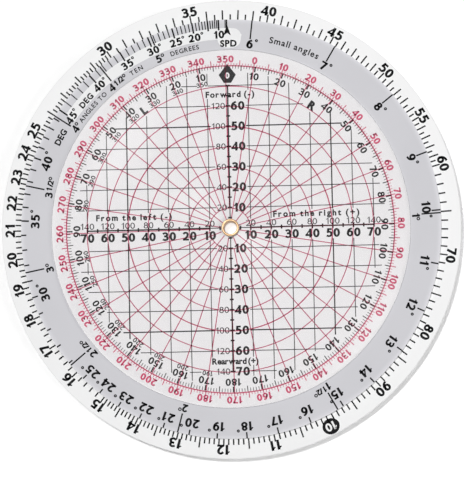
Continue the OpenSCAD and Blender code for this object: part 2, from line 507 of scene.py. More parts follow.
def figure_strokes(figures, stem):
    """A number as pen strokes (right side, left side, closed), one unit tall, with its middle at zero."""
    strokes = []
    flat_stem = stem * PEN_FLATNESS
    left = stem / 2
    for figure in figures:
        drawn = [(stroke, stem) for stroke in FIGURES[figure]]
        drawn += [(stroke, stem * FINE_STROKE) for stroke in FINE_STROKES.get(figure, ())]
        for stroke, pen in drawn:
            closed = not isinstance(stroke, list)
            if closed:
                x, y, half_w, half_h = stroke
                ring = arc(1.0, 0, 360, OVAL_STEPS)[:-1]
                points = [(x + half_w * px, y + half_h * py) for px, py in ring]
            else:
                points = pen_points(stroke)
            low = flat_stem / 2 - 0.5
            points = [(left + x * (FIGURE_W - stem), low + y * (1 - flat_stem)) for x, y in points]
            strokes.append((*pen_sides(points, pen, closed), closed))
        left += NARROW_ADVANCES.get(figure, FIGURE_ADVANCE)
    across = [x for right, left, closed in strokes for x, y in right + left]
    middle = (min(across) + max(across)) / 2
    centred = []
    for right, left, closed in strokes:
        sides = [[(x - middle, y) for x, y in side] for side in (right, left)]
        centred.append((*sides, closed))
    return centred, max(across) - middle


class Print:
    """Ink of one colour on one face, in mm from the face's middle and up from the face.
    The whole print is turned clockwise by turn degrees, and register is how far it is off the middle."""

    def __init__(self, ink, turn=0.0, height=INK_T, register=(0.0, 0.0)):
        self.ink = ink
        self.turn = turn
        self.register = register
        self.low = -INK_KEY
        self.high = height
        self.points = []
        self.faces = []

    def slab(self, points, faces, rim):
        """Closed ink over flat faces; rim holds the edges of their outlines, in the faces' order."""
        low = len(self.points)
        high = low + len(points)
        self.points += [(x, y, self.low) for x, y in points]
        self.points += [(x, y, self.high) for x, y in points]
        for face in faces:
            self.faces.append([high + i for i in face])
            self.faces.append([low + i for i in reversed(face)])
        for a, b in rim:
            self.faces.append((low + a, low + b, high + b, high + a))

    def patch(self, outline):
        """A filled outline, whichever way round it is drawn."""
        pairs = zip(outline, outline[1:] + outline[:1])
        if sum(x0 * y1 - x1 * y0 for (x0, y0), (x1, y1) in pairs) < 0:
            outline = outline[::-1]
        size = len(outline)
        self.slab(outline, [range(size)], [(i, (i + 1) % size) for i in range(size)])

    def band(self, inner, outer, closed):
        """Ink between two lines of as many points each, which run clockwise."""
        size = len(inner)
        faces = []
        rim = []
        for i in range(size if closed else size - 1):
            after = (i + 1) % size
            faces.append((i, after, size + after, size + i))
            rim += [(i, after), (size + after, size + i)]
        if not closed:
            rim += [(size, 0), (size - 1, 2 * size - 1)]
        self.slab(inner + outer, faces, rim)

    def ring(self, radius, width, steps=RIM_STEPS):
        """A line round the face."""
        inner = arc(radius - width / 2, 0, 360, steps)[:-1]
        outer = arc(radius + width / 2, 0, 360, steps)[:-1]
        self.band(inner, outer, closed=True)

    def bar(self, start, end, width):
        """A straight line."""
        dx, dy = end[0] - start[0], end[1] - start[1]
        size = math.hypot(dx, dy)
        ax, ay = -dy / size * width / 2, dx / size * width / 2
        corners = [(start[0] + ax, start[1] + ay), (start[0] - ax, start[1] - ay)]
        corners += [(end[0] - ax, end[1] - ay), (end[0] + ax, end[1] + ay)]
        self.patch(corners)

    def marks(self, law, first, step, count, near, far, width=MARK_W, skip=None):
        """A row of scale marks between two radii; skip leaves out one in so many, counted from a start."""
        every, start = skip or (count + 1, 1)
        sizes = {
            "First": float(first),
            "Step": float(step),
            "Count": count,
            "Skip Every": every,
            "Skip From": start,
            "Near Radius": min(near, far),
            "Far Radius": max(near, far),
            "Width": width,
            "Low": self.low,
            "High": self.high,
            "Ink": self.ink,
        }
        row = made_by(row_trees[law], sizes)
        base = len(self.points)
        self.points += [tuple(v.co) for v in row.vertices]
        self.faces += [[base + i for i in face.vertices] for face in row.polygons]
        bpy.data.meshes.remove(row)

    def number(self, figures, cap, at, turn=0.0, stem=BOLD_STEM):
        """A number with its middle at a point, turned clockwise."""
        across, up = math.cos(math.radians(turn)) * cap, math.sin(math.radians(turn)) * cap
        for *sides, closed in figure_strokes(str(figures), stem)[0]:
            placed = []
            for side in sides:
                placed.append([(at[0] + x * across + y * up, at[1] - x * up + y * across) for x, y in side])
            self.band(*placed, closed)

    def round_number(self, figures, cap, angle, radius, stem=BOLD_STEM):
        """A number at a clock angle with its top outwards."""
        self.number(figures, cap, clock(angle, radius), angle, stem)

    def piece(self, name, face_height, down=False):
        """The print as a piece at a face's height in metres; down turns it over onto an under face."""
        side = -1 if down else 1
        across, up = math.cos(math.radians(self.turn)), math.sin(math.radians(self.turn))
        points = []
        off_x, off_y = self.register
        for x, y, z in self.points:
            x, y = x * across + y * up + off_x, y * across - x * up + off_y
            points.append((side * x * MM, y * MM, face_height + side * z * MM))
        return add_piece(name, points, self.faces, self.ink)


def rule_scale(ink, edge, side, overlap):
    """The marks of a full logarithmic scale, outwards or inwards from a disc's edge."""
    for first, step, count, length, skip in RULE_ROWS:
        ink.marks(log_angle, first, step, count, edge - side * overlap, edge + side * length, skip=skip)


def screen_ink(name, first, second, shine=INK_SHINE):
    """Screen-print ink between two tones, with a fine even grain."""
    return satin(name, (first, second), gloss=(0.50, 0.62), patch=4.0, grain=0.12, depth=0.001, shine=shine)


black_ink = screen_ink("black_ink", (0.006, 0.006, 0.007), (0.011, 0.011, 0.012))
white_ink = screen_ink("white_ink", (0.88, 0.88, 0.88), (0.91, 0.91, 0.91), SATIN_SHINE)
base_front_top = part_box("base_front_face")[1].z
wind_rim_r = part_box("wind_disc_front_face")[1].y / MM

base_marks = Print(black_ink, BASE_TURN, INK_T, BASE_REGISTER)
rule_scale(base_marks, wind_rim_r, 1, BASE_MARK_OVERLAP)
spot_ring = arc(1.0, 0, 360, SMALL_ROUND_STEPS)[:-1]
base_marks.patch([(INDEX_SPOT_HALF_W * x, INDEX_SPOT_HALF_H * y + INDEX_SPOT_AT) for x, y in spot_ring])
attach(base_marks.piece("base_front_marks", base_front_top), "base")

base_numbers = Print(black_ink, BASE_TURN, INK_T, BASE_REGISTER)
for value in RULE_NUMBERS:
    base_numbers.round_number(value, BASE_NUMBER_CAP, log_angle(value), BASE_NUMBER_R)
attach(base_numbers.piece("base_front_numbers", base_front_top), "base")

index_number = Print(white_ink, BASE_TURN, OVERPRINT_T, BASE_REGISTER)
index_number.round_number(10, INDEX_CAP, 0, INDEX_SPOT_AT, INDEX_STEM)
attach(index_number.piece("base_front_index_number", base_front_top), "base")

# Base disc rear face
# The same laminated white sheet on the rear of the core, printed with the calculator's fixed scale.
# A ring of plain numbers nearer the middle shows through the windows of the calculator disc.
REAR_TURN = -24.0
REAR_NUMBER_R = 47.9
REAR_NUMBER_CAP = 2.2
WINDOW_NUMBER_R = 28.0
WINDOW_NUMBER_CAP = 1.25
WINDOW_MARK = (29.3, 30.6)
WINDOW_MARK_W = 0.12
WINDOW_RING_W = 0.10

base_rear = round_sheet("base_rear_sheet", "base_rear_face", FIXED_HOLE_R, FACE_EDGE, white_face)
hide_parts("base_rear_face")
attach(base_rear, "base")

calculator_rim_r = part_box("calculator_disc_core")[1].y / MM
base_rear_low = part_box("base_rear_face")[0].z
rear_marks = Print(black_ink, REAR_TURN)
rule_scale(rear_marks, calculator_rim_r, 1, BASE_MARK_OVERLAP)
rear_marks.marks(even_angle, 0, 2, 180, *WINDOW_MARK, width=WINDOW_MARK_W)
rear_marks.ring(WINDOW_MARK[0], WINDOW_RING_W)
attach(rear_marks.piece("base_rear_marks", base_rear_low, down=True), "base")

rear_numbers = Print(black_ink, REAR_TURN)
for value in (10, *RULE_NUMBERS):
    rear_numbers.round_number(value, REAR_NUMBER_CAP, log_angle(value), REAR_NUMBER_R)
for value in range(36):
    rear_numbers.round_number(value, WINDOW_NUMBER_CAP, 10 * value, WINDOW_NUMBER_R)
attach(rear_numbers.piece("base_rear_numbers", base_rear_low, down=True), "base")

# Front slip washer
# A thin translucent plastic washer round the eyelet that lets the wind disc turn on the base disc.
WASHER_STEPS = 120
WASHER_EDGE = 0.02

slip_plastic = satin(
    "slip_plastic",
    tones=((0.80, 0.79, 0.75), (0.85, 0.84, 0.81)),
    gloss=(0.30, 0.45),
    patch=2.0,
    grain=0.15,
    depth=0.002,
)


def slip_washer(node):
    """One of the slip washers, in the place of its CAD node."""
    washer = round_sheet(node + "_ring", node, FIXED_HOLE_R, WASHER_EDGE, slip_plastic, WASHER_STEPS)
    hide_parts(node)
    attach(washer, "base")


slip_washer("front_slip_washer")

# Wind disc sheets
# White vinyl core between two thin face sheets, die-cut smaller than the base so that its scale shows.
# It turns by itself on the eyelet and is printed on its front only.
TURNING_HOLE_R = 1.65

wind_face = printed_face("wind_face", (0.855, 0.857, 0.860), (0.874, 0.876, 0.879))


def laminate_layer(node, edge, finish, body):
    """One layer of a disc that turns on the eyelet."""
    layer = round_sheet(node + "_sheet", node, TURNING_HOLE_R, edge, finish)
    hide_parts(node)
    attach(layer, body)


laminate_layer("wind_disc_rear_face", FACE_EDGE, white_face, "wind_disc")
laminate_layer("wind_disc_core", CORE_EDGE, white_vinyl, "wind_disc")
laminate_layer("wind_disc_front_face", FACE_EDGE, wind_face, "wind_disc")
wind_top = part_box("wind_disc_front_face")[1].z

# Grey ring of the wind disc
# Flat grey ink from the disc's edge, where its tone grows paler, to just under the clear rose disc.
# A white window is left open in it behind the cosine numbers, with a rounded end at the speed pointer.
WIND_TURN = -1.22
GREY_RING_R = 39.62
GREY_RIM_MARGIN = 0.04
WINDOW_START = -54.3
WINDOW_LOW_R = 42.06
WINDOW_HIGH_R = 44.55
WINDOW_SEAM_R = 43.2
BLOB_ANGLE = 0.6
BLOB_HALF_ANGLE = 3.55
BLOB_LOW_R = 40.15
BLOB_HIGH_R = 44.55
BLOB_POWER = 2.6
RING_STEPS = 1440
PALE_RIM_R = 45.2
PALE_RIM = 0.22

grey_ink = satin(
    "grey_ink",
    tones=((0.598, 0.594, 0.624), (0.626, 0.622, 0.653)),
    gloss=(0.50, 0.62),
    patch=16.0,
    grain=0.18,
    depth=0.001,
)


def window_span(angle):
    """The lower and upper radius of the white window at an angle, or the seam's where there is none."""
    low, high = WINDOW_SEAM_R, WINDOW_SEAM_R
    if WINDOW_START <= angle <= BLOB_ANGLE:
        low, high = WINDOW_LOW_R, WINDOW_HIGH_R
    share = abs(angle - BLOB_ANGLE) / BLOB_HALF_ANGLE
    if share < 1:
        reach = (1 - share**BLOB_POWER) ** (1 / BLOB_POWER)
        middle = (BLOB_LOW_R + BLOB_HIGH_R) / 2
        low = min(low, middle - reach * (middle - BLOB_LOW_R))
        high = max(high, middle + reach * (BLOB_HIGH_R - middle))
    return low, high


fade_to_rim(grey_ink, PALE_RIM_R, wind_rim_r, PALE_RIM)
grey_ring = Print(grey_ink, WIND_TURN)
ring_angles = [-180 + 360 * i / RING_STEPS for i in range(RING_STEPS)]
window_low = [clock(a, window_span(a)[0]) for a in ring_angles]
window_high = [clock(a, window_span(a)[1]) for a in ring_angles]
grey_ring.band([clock(a, GREY_RING_R) for a in ring_angles], window_low, closed=True)
grey_ring.band(window_high, [clock(a, wind_rim_r - GREY_RIM_MARGIN) for a in ring_angles], closed=True)
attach(grey_ring.piece("wind_disc_grey_ring", wind_top), "wind_disc")

# Sine and cosine scales of the wind disc
# Black ink over the grey ring and its white window: marks run in from the disc's edge.
# Sines go counter-clockwise from the speed pointer, small angles on a second turn; cosines end at it.
SCALE_CAP = 2.0
SMALL_CAP = 1.74
SMALL_LABEL_R = 40.95
SMALL_MARK = 4.25
COSINE_CAP = 1.74
COSINE_LABEL_R = 43.12
COSINE_MARK_W = 0.24
COSINE_LONG_MARK = 0.45
LONG_MARK_GAP = 1.12
# gap before the degree ring, its radius, its hole and its rise
SINE_RING = (0.18, 0.17, 0.25, 0.45)
COSINE_RING = (0.06, 0.18, 0.30, 0.40)
SMALL_RING = (0.02, 0.23, 0.42, 0.27)
FRACTION_SIZE = 0.76
FRACTION_GAP = 0.18
DEGREE_RING_STEPS = 16
BOLD_MARK_W = 0.36
THIN_MARK_W = 0.20
POINTER_MARK_W = 0.12
# first angle, last angle, radius of the numbers, and how far they lean to make room for their rings
SINE_LABELS = (
    (6, 6, 41.11, 0.0),
    (7, 7, 41.40, 0.1),
    (8, 8, 42.23, 0.0),
    (9, 9, 42.79, 0.1),
    (10, 10, 43.33, 1.6),
    (11, 15, 43.36, 0.65),
    (16, 17, 43.56, 0.5),
    (18, 20, 43.80, 0.45),
    (21, 25, 43.88, 0.95),
    (30, 30, 43.68, 0.2),
    (35, 35, 43.30, 0.1),
    (40, 40, 43.30, 0.6),
)
# lean of each small angle's number, from one degree by halves
SMALL_LEANS = (-0.3, -1.0, 0.7, 0.2, 1.1, -0.7, 0.0, -1.1, 0.8)
# first angle, count, length of the marks
SINE_MARKS = (
    (11, 2, 1.65),
    (13, 6, 1.35),
    (19, 7, 1.15),
    (26, 4, 1.0),
    (30, 1, 1.3),
    (31, 4, 1.15),
    (36, 4, 1.4),
    (41, 5, 1.5),
)
SINE_BOLD_MARK = 1.68


def sine_label(angle):
    """The radius and the lean of a sine number; small angles stand further in."""
    return next((radius, lean) for first, last, radius, lean in SINE_LABELS if first <= angle <= last)


def degree_number(ink, figures, cap, angle, radius, lean, ring):
    """A number of degrees at a clock angle, with a one-half after a halved one, and a degree ring."""
    gap, ring_r, hole, rise = ring
    gap, ring_r = gap * cap, ring_r * cap
    parts = [(str(int(figures)), cap)]
    if figures != int(figures):
        parts.append(("1/2", cap * FRACTION_SIZE))
    widths = [2 * figure_strokes(words, BOLD_STEM)[1] * size for words, size in parts]
    along = -(sum(widths) + FRACTION_GAP * cap * (len(parts) - 1)) / 2 - lean * (gap / 2 + ring_r)
    for (words, size), width in zip(parts, widths):
        x, y = clock(angle, radius + (cap - size) / 2)
        dx, dy = clock(angle + 90, along + width / 2)
        ink.number(words, size, (x + dx, y + dy), angle)
        along += width + FRACTION_GAP * cap
    x, y = clock(angle, radius + rise * cap)
    dx, dy = clock(angle + 90, along - FRACTION_GAP * cap + gap + ring_r)
    outer = [(x + dx + px, y + dy + py) for px, py in arc(ring_r, 0, 360, DEGREE_RING_STEPS)[:-1]]
    inner = [(x + dx + px, y + dy + py) for px, py in arc(ring_r * hole, 0, 360, DEGREE_RING_STEPS)[:-1]]
    ink.band(inner, outer, closed=True)


wind_marks = Print(black_ink, WIND_TURN, OVERPRINT_T)
for angle in range(6, 11):
    near = sine_label(angle)[0] + LONG_MARK_GAP
    wind_marks.marks(sine_angle, angle, 1, 1, near, wind_rim_r)
for first, count, length in SINE_MARKS:
    wind_marks.marks(sine_angle, first, 1, count, wind_rim_r - length, wind_rim_r)
wind_marks.marks(sine_angle, 35, 5, 2, wind_rim_r - SINE_BOLD_MARK, wind_rim_r, width=BOLD_MARK_W)
wind_marks.marks(sine_angle, 1, 0.5, 8, wind_rim_r - SMALL_MARK, wind_rim_r)
long_mark_low = WINDOW_HIGH_R - COSINE_LONG_MARK
wind_marks.marks(sine_angle, 5, 1, 1, long_mark_low, wind_rim_r)
wind_marks.marks(cosine_angle, 10, 1, 36, WINDOW_HIGH_R, wind_rim_r, width=COSINE_MARK_W)
wind_marks.marks(cosine_angle, 10, 5, 8, long_mark_low, wind_rim_r, width=BOLD_MARK_W)
wind_marks.marks(cosine_angle, 0, 1, 6, WINDOW_HIGH_R, wind_rim_r, width=POINTER_MARK_W)
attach(wind_marks.piece("wind_disc_scale_marks", wind_top), "wind_disc")

wind_numbers = Print(black_ink, WIND_TURN, OVERPRINT_T)
for angle in (*range(6, 26), 30, 35, 40):
    degree_number(wind_numbers, angle, SCALE_CAP, sine_angle(angle), *sine_label(angle), SINE_RING)
for angle in (45, 40, 35, 30, 25, 20, 10):
    degree_number(wind_numbers, angle, COSINE_CAP, cosine_angle(angle), COSINE_LABEL_R, 0, COSINE_RING)
for place, lean in enumerate(SMALL_LEANS):
    angle = 1 + place / 2
    degree_number(wind_numbers, angle, SMALL_CAP, sine_angle(angle), SMALL_LABEL_R, lean, SMALL_RING)
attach(wind_numbers.piece("wind_disc_scale_numbers", wind_top), "wind_disc")

# Legends on the grey ring
# Plain words in the places where the ring has legends: the unit of the two scales, and short notes.
# The speed pointer is a black notched arrowhead on the white window's rounded end.
NOTE_CAP = 1.35
SMALL_NOTE_CAP = 0.98
SMALL_NOTE_R = 40.95
POINTER_CAP = 1.36
POINTER_TIP_R = 45.35
POINTER_TAIL_R = 42.85
POINTER_NOTCH_R = 43.45
POINTER_HALF_W = 0.82
BOLD_LETTER = 0.042
THIN_LETTER = 0.022
PLAIN_LETTER = 0.0
SPACE_W = 0.3
FONT_CURVE_STEPS = 4
# words, height of a capital, first and last clock angle, radius, and weight of the strokes
LEGENDS = (
    ("DEG", 1.28, -63.2, -58.2, 42.85, BOLD_LETTER),
    ("DEG", 1.22, -49.9, -44.9, 42.9, BOLD_LETTER),
    ("Small angles", NOTE_CAP, 12.7, 28.2, 42.7, THIN_LETTER),
    ("ANGLES TO", SMALL_NOTE_CAP, -53.6, -41.6, SMALL_NOTE_R, THIN_LETTER),
    ("TEN", SMALL_NOTE_CAP, -32.0, -27.6, SMALL_NOTE_R, THIN_LETTER),
    ("DEGREES", SMALL_NOTE_CAP, -18.0, -8.9, SMALL_NOTE_R, THIN_LETTER),
    ("SPD", POINTER_CAP, -2.2, 2.9, 41.1, BOLD_LETTER),
)
known_words = {}


def letter_shapes(words, weight):
    """A word in the built-in font as flat points and faces; weight thickens its strokes."""
    font = bpy.data.curves.new("lettering", "FONT")
    font.body = words
    font.offset = weight
    font.resolution_u = FONT_CURVE_STEPS
    font.fill_mode = "FRONT"
    holder = bpy.data.objects.new("lettering", font)
    flat = bpy.data.meshes.new_from_object(holder)
    points = [(v.co.x, v.co.y) for v in flat.vertices]
    faces = [tuple(face.vertices) for face in flat.polygons]
    bpy.data.objects.remove(holder)
    bpy.data.curves.remove(font)
    bpy.data.meshes.remove(flat)
    return points, faces


CAPITAL_H = max(y for x, y in letter_shapes("H", PLAIN_LETTER)[0])


def word_shape(words, weight):
    """A word one capital tall with its middle at zero, made once for each weight, and its half width."""
    key = (words, weight)
    if key not in known_words:
        points, faces = letter_shapes(*key)
        middle = (min(x for x, y in points) + max(x for x, y in points)) / 2
        points = [((x - middle) / CAPITAL_H, y / CAPITAL_H - 0.5) for x, y in points]
        known_words[key] = points, faces, max(x for x, y in points)
    return known_words[key]


def lettering(ink, words, cap, at, turn, weight):
    """Words with their middle at a point, turned clockwise."""
    points, faces, half = word_shape(words, weight)
    across, up = math.cos(math.radians(turn)) * cap, math.sin(math.radians(turn)) * cap
    placed = [(at[0] + x * across + y * up, at[1] - x * up + y * across) for x, y in points]
    edges = {(a, b) for face in faces for a, b in zip(face, face[1:] + face[:1])}
    ink.slab(placed, faces, [(a, b) for a, b in edges if (b, a) not in edges])


def letter_places(words, cap, weight, span):
    """Where each letter's middle goes so that the words fill a span, each letter as wide as it is."""
    widths = [SPACE_W * cap if letter == " " else 2 * word_shape(letter, weight)[2] * cap for letter in words]
    gap = (span - sum(widths)) / (len(words) - 1)
    left = -span / 2
    for letter, width in zip(words, widths):
        if letter != " ":
            yield letter, left + width / 2
        left += width + gap


def letter_arc(ink, words, cap, start, end, radius, weight):
    """Words spread along an arc between two clock angles, with their tops outwards."""
    span = math.radians(end - start) * radius
    for letter, along in letter_places(words, cap, weight, span):
        angle = (start + end) / 2 + math.degrees(along / radius)
        lettering(ink, letter, cap, clock(angle, radius), angle, weight)


wind_legends = Print(black_ink, WIND_TURN, OVERPRINT_T)
for legend in LEGENDS:
    letter_arc(wind_legends, *legend)
wind_legends.patch(
    [
        (0, POINTER_TIP_R),
        (POINTER_HALF_W, POINTER_TAIL_R),
        (0, POINTER_NOTCH_R),
        (-POINTER_HALF_W, POINTER_TAIL_R),
    ]
)
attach(wind_legends.piece("wind_disc_legends", wind_top), "wind_disc")

# Course ring of the wind disc
# Black degree marks just inside the red circle, numbered both ways from the course pointer.
# The left half also has the angles counted on past half a turn, in thin grey figures.
ROSE_CIRCLE_R = 36.24
GRID_TURN = -1.43
COURSE_NUMBER_R = 34.02
COURSE_NUMBER_CAP = 1.60
COURSE_STEM = 0.235
THIN_STEM = 0.165
BACK_NUMBER_R = 32.45
BACK_NUMBER_CAP = 1.06
BACK_STEM = 0.215
SIDE_LETTER_R = 32.5
SIDE_LETTER_CAP = 1.65
SIDE_LETTER_ANGLE = 35
SIDE_LETTER_WEIGHT = 0.06
FINE_MARK_W = 0.13
FINE_MARK = 0.78
TEN_MARK = 1.25
COURSE_POINTER_APEX_R = 36.5
COURSE_POINTER_WIDE_R = 34.05
COURSE_POINTER_BASE_R = 32.25
COURSE_POINTER_HALF_W = 1.9
COURSE_POINTER_BASE_HALF_W = 0.8
POINTER_ZERO_R = 33.9

soft_black_ink = screen_ink("soft_black_ink", (0.014, 0.014, 0.015), (0.022, 0.022, 0.023))
thin_grey_ink = screen_ink("thin_grey_ink", (0.032, 0.032, 0.034), (0.048, 0.048, 0.051))

fine_marks = Print(thin_grey_ink, GRID_TURN)
fine_mark_low = ROSE_CIRCLE_R - FINE_MARK
fine_marks.marks(even_angle, 0, 1, 360, fine_mark_low, ROSE_CIRCLE_R, FINE_MARK_W, skip=(5, 0))
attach(fine_marks.piece("wind_disc_fine_marks", wind_top), "wind_disc")

course_marks = Print(soft_black_ink, GRID_TURN)
course_marks.marks(even_angle, 5, 10, 36, ROSE_CIRCLE_R - TEN_MARK, ROSE_CIRCLE_R, THIN_MARK_W)
course_marks.marks(even_angle, 10, 10, 35, ROSE_CIRCLE_R - TEN_MARK, ROSE_CIRCLE_R, MARK_W)
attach(course_marks.piece("wind_disc_course_marks", wind_top), "wind_disc")

course_numbers = Print(soft_black_ink, GRID_TURN)
for angle in range(10, 180, 10):
    course_numbers.round_number(angle, COURSE_NUMBER_CAP, angle, COURSE_NUMBER_R, COURSE_STEM)
    course_numbers.round_number(angle, COURSE_NUMBER_CAP, -angle, COURSE_NUMBER_R, COURSE_STEM)
course_numbers.round_number(180, COURSE_NUMBER_CAP, 180, COURSE_NUMBER_R, COURSE_STEM)
for letter, angle in (("L", -SIDE_LETTER_ANGLE), ("R", SIDE_LETTER_ANGLE)):
    letter_at = clock(angle, SIDE_LETTER_R)
    lettering(course_numbers, letter, SIDE_LETTER_CAP, letter_at, angle, SIDE_LETTER_WEIGHT)
course_numbers.patch(
    [
        (0, COURSE_POINTER_APEX_R),
        (COURSE_POINTER_HALF_W, COURSE_POINTER_WIDE_R),
        (COURSE_POINTER_BASE_HALF_W, COURSE_POINTER_BASE_R),
        (-COURSE_POINTER_BASE_HALF_W, COURSE_POINTER_BASE_R),
        (-COURSE_POINTER_HALF_W, COURSE_POINTER_WIDE_R),
    ]
)
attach(course_numbers.piece("wind_disc_course_numbers", wind_top), "wind_disc")

pointer_zero = Print(white_ink, GRID_TURN, OVERPRINT_T)
pointer_zero.number(0, POINTER_CAP, (0, POINTER_ZERO_R))
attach(pointer_zero.piece("wind_disc_pointer_zero", wind_top), "wind_disc")

back_numbers = Print(thin_grey_ink, GRID_TURN)
for angle in (*range(190, 270, 10), *range(280, 360, 10)):
    back_numbers.round_number(angle, BACK_NUMBER_CAP, angle, BACK_NUMBER_R, BACK_STEM)
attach(back_numbers.piece("wind_disc_back_numbers", wind_top), "wind_disc")

# Wind grid of the wind disc
# A square grid of fine black lines with two heavy axes through the eyelet, numbered in tens.
# Every line stops short of the numbers and words that it would cross.
GRID_STEP = 4.523
GRID_LAST = 7
BOLD_TEN = 5
LEVEL_REACH = 34.4
UPRIGHT_REACH = 34.7
SHORTEST_LINE = 1.6
GRID_LINE_W = 0.18
GRID_BOLD_W = 0.27
AXIS_W = 0.32
AXIS_INNER_W = 0.2
AXIS_INNER_R = 2.05
AXIS_START = 1
AXIS_TICK = 0.44
AXIS_TEN_TICK = 0.54
AXIS_TICK_W = 0.34
GRID_DRAW_STEP = 0.05
AXIS_NUMBER_CAP = 1.96
AXIS_NUMBER_X = 2.15
AXIS_NUMBER_Y = -1.6
THIN_NUMBER_CAP = 1.38
THIN_NUMBER_X = -0.65
THIN_NUMBER_Y = 1.0
LEGEND_CAP = 1.25
LEGEND_WEIGHT = 0.040
CLEAR_OF_WORDS = 0.25
# words, their middle, and the span that they fill
GRID_LEGENDS = (
    ("From the left (-)", (-21.3, 2.85), 16.8),
    ("From the right (+)", (19.0, 2.85), 19.0),
    ("Forward (-)", (0.5, 29.7), 10.8),
    ("Rearward (+)", (0.5, -29.4), 10.2),
)
# clear space round the course ring's lettering: half angles in degrees, and the radius that it starts from
SIDE_LETTER_CLEAR = 3.4
SIDE_LETTER_LOW_R = SIDE_LETTER_R - 1.4
POINTER_CLEAR = 4
POINTER_LOW_R = COURSE_POINTER_BASE_R - 0.4
BACK_NUMBER_CLEAR = 2.4
BACK_NUMBER_LOW_R = BACK_NUMBER_R - 0.75
COURSE_NUMBER_LOW_R = COURSE_NUMBER_R - 1.0
TWO_FIGURE_CLEAR = 2.0
THREE_FIGURE_CLEAR = 3.2
THREE_FIGURES_FROM = 95

grid_numbers = Print(soft_black_ink, GRID_TURN)
thin_numbers = Print(thin_grey_ink, GRID_TURN)
kept_clear = []


def keep_clear(at, half_w, half_h):
    """Marks the space round some lettering, which no grid line enters."""
    half_w, half_h = half_w + CLEAR_OF_WORDS, half_h + CLEAR_OF_WORDS
    kept_clear.append((at[0] - half_w, at[1] - half_h, at[0] + half_w, at[1] + half_h))


def grid_number(ink, figures, cap, at, stem):
    """A number on the grid, in a clear space."""
    ink.number(figures, cap, at, 0, stem)
    keep_clear(at, figure_strokes(str(figures), stem)[1] * cap, cap / 2)


def grid_legend(words, at, span):
    """Spread words on the grid, in a clear space."""
    for letter, along in letter_places(words, LEGEND_CAP, LEGEND_WEIGHT, span):
        lettering(grid_numbers, letter, LEGEND_CAP, (at[0] + along, at[1]), 0, LEGEND_WEIGHT)
    keep_clear(at, span / 2, LEGEND_CAP / 2)


for ten in range(1, GRID_LAST + 1):
    along = ten * GRID_STEP
    thin_half = figure_strokes(str(20 * ten), THIN_STEM)[1] * THIN_NUMBER_CAP
    for side in (1, -1):
        grid_number(grid_numbers, 10 * ten, AXIS_NUMBER_CAP, (side * along, AXIS_NUMBER_Y), BOLD_STEM)
        grid_number(thin_numbers, 20 * ten, THIN_NUMBER_CAP, (side * along, THIN_NUMBER_Y), THIN_STEM)
        if side < 0 or ten < GRID_LAST:
            number_at = (AXIS_NUMBER_X, side * along)
            grid_number(grid_numbers, 10 * ten, AXIS_NUMBER_CAP, number_at, BOLD_STEM)
            number_at = (THIN_NUMBER_X - thin_half, side * along)
            grid_number(thin_numbers, 20 * ten, THIN_NUMBER_CAP, number_at, THIN_STEM)

for legend in GRID_LEGENDS:
    grid_legend(*legend)
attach(grid_numbers.piece("wind_disc_grid_numbers", wind_top), "wind_disc")
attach(thin_numbers.piece("wind_disc_thin_numbers", wind_top), "wind_disc")


def ring_number_near(x, y):
    """True where a number, letter or pointer of the course ring is."""
    radius = math.hypot(x, y)
    angle = math.degrees(math.atan2(x, y))
    off_ten = abs((angle + 5) % 10 - 5)
    left_half = -175 < angle < -5
    if abs(abs(angle) - SIDE_LETTER_ANGLE) < SIDE_LETTER_CLEAR and radius > SIDE_LETTER_LOW_R:
        return True
    if abs(angle) < POINTER_CLEAR and radius > POINTER_LOW_R:
        return True
    number_low = COURSE_NUMBER_LOW_R
    if left_half and off_ten < BACK_NUMBER_CLEAR:
        number_low = BACK_NUMBER_LOW_R
    half_angle = TWO_FIGURE_CLEAR if abs(angle) < THREE_FIGURES_FROM else THREE_FIGURE_CLEAR
    return off_ten < half_angle and radius > number_low


def open_at(x, y):
    """True where a grid line may be drawn."""
    if ring_number_near(x, y):
        return False
    return not any(x0 < x < x1 and y0 < y < y1 for x0, y0, x1, y1 in kept_clear)


def open_stretches(place, across, reach):
    """The stretches of a line across the disc that cross no lettering; place gives its points."""
    end = math.sqrt(reach**2 - across**2)
    count = int(2 * end / GRID_DRAW_STEP)
    start = None
    last = None
    stretches = []
    for i in range(count + 2):
        along = -end + i * GRID_DRAW_STEP
        if i <= count and open_at(*place(along)):
            start = along if start is None else start
            last = along
        elif start is not None:
            stretches.append((start, last))
            start = None
    return [(place(a), place(b)) for a, b in stretches if b - a > SHORTEST_LINE]


grid = Print(soft_black_ink, GRID_TURN)
for ten in range(-GRID_LAST, GRID_LAST + 1):
    if ten != 0:
        across = ten * GRID_STEP
        width = GRID_BOLD_W if abs(ten) == BOLD_TEN else GRID_LINE_W
        for stretch in open_stretches(lambda along: (across, along), across, UPRIGHT_REACH):
            grid.bar(*stretch, width)
        for stretch in open_stretches(lambda along: (along, across), across, LEVEL_REACH):
            grid.bar(*stretch, width)

axis_end = GRID_LAST * GRID_STEP
for quarter in range(4):
    turn = 90 * quarter
    grid.bar(clock(turn, AXIS_START * GRID_STEP), clock(turn, axis_end), AXIS_W)
    grid.bar(clock(turn, AXIS_INNER_R), clock(turn, AXIS_START * GRID_STEP), AXIS_INNER_W)
    for half_ten in range(1, 2 * GRID_LAST + 1):
        x, y = clock(turn, half_ten * GRID_STEP / 2)
        dx, dy = clock(turn + 90, AXIS_TICK if half_ten % 2 else AXIS_TEN_TICK)
        grid.bar((x - dx, y - dy), (x + dx, y + dy), AXIS_TICK_W)
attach(grid.piece("wind_disc_grid", wind_top), "wind_disc")

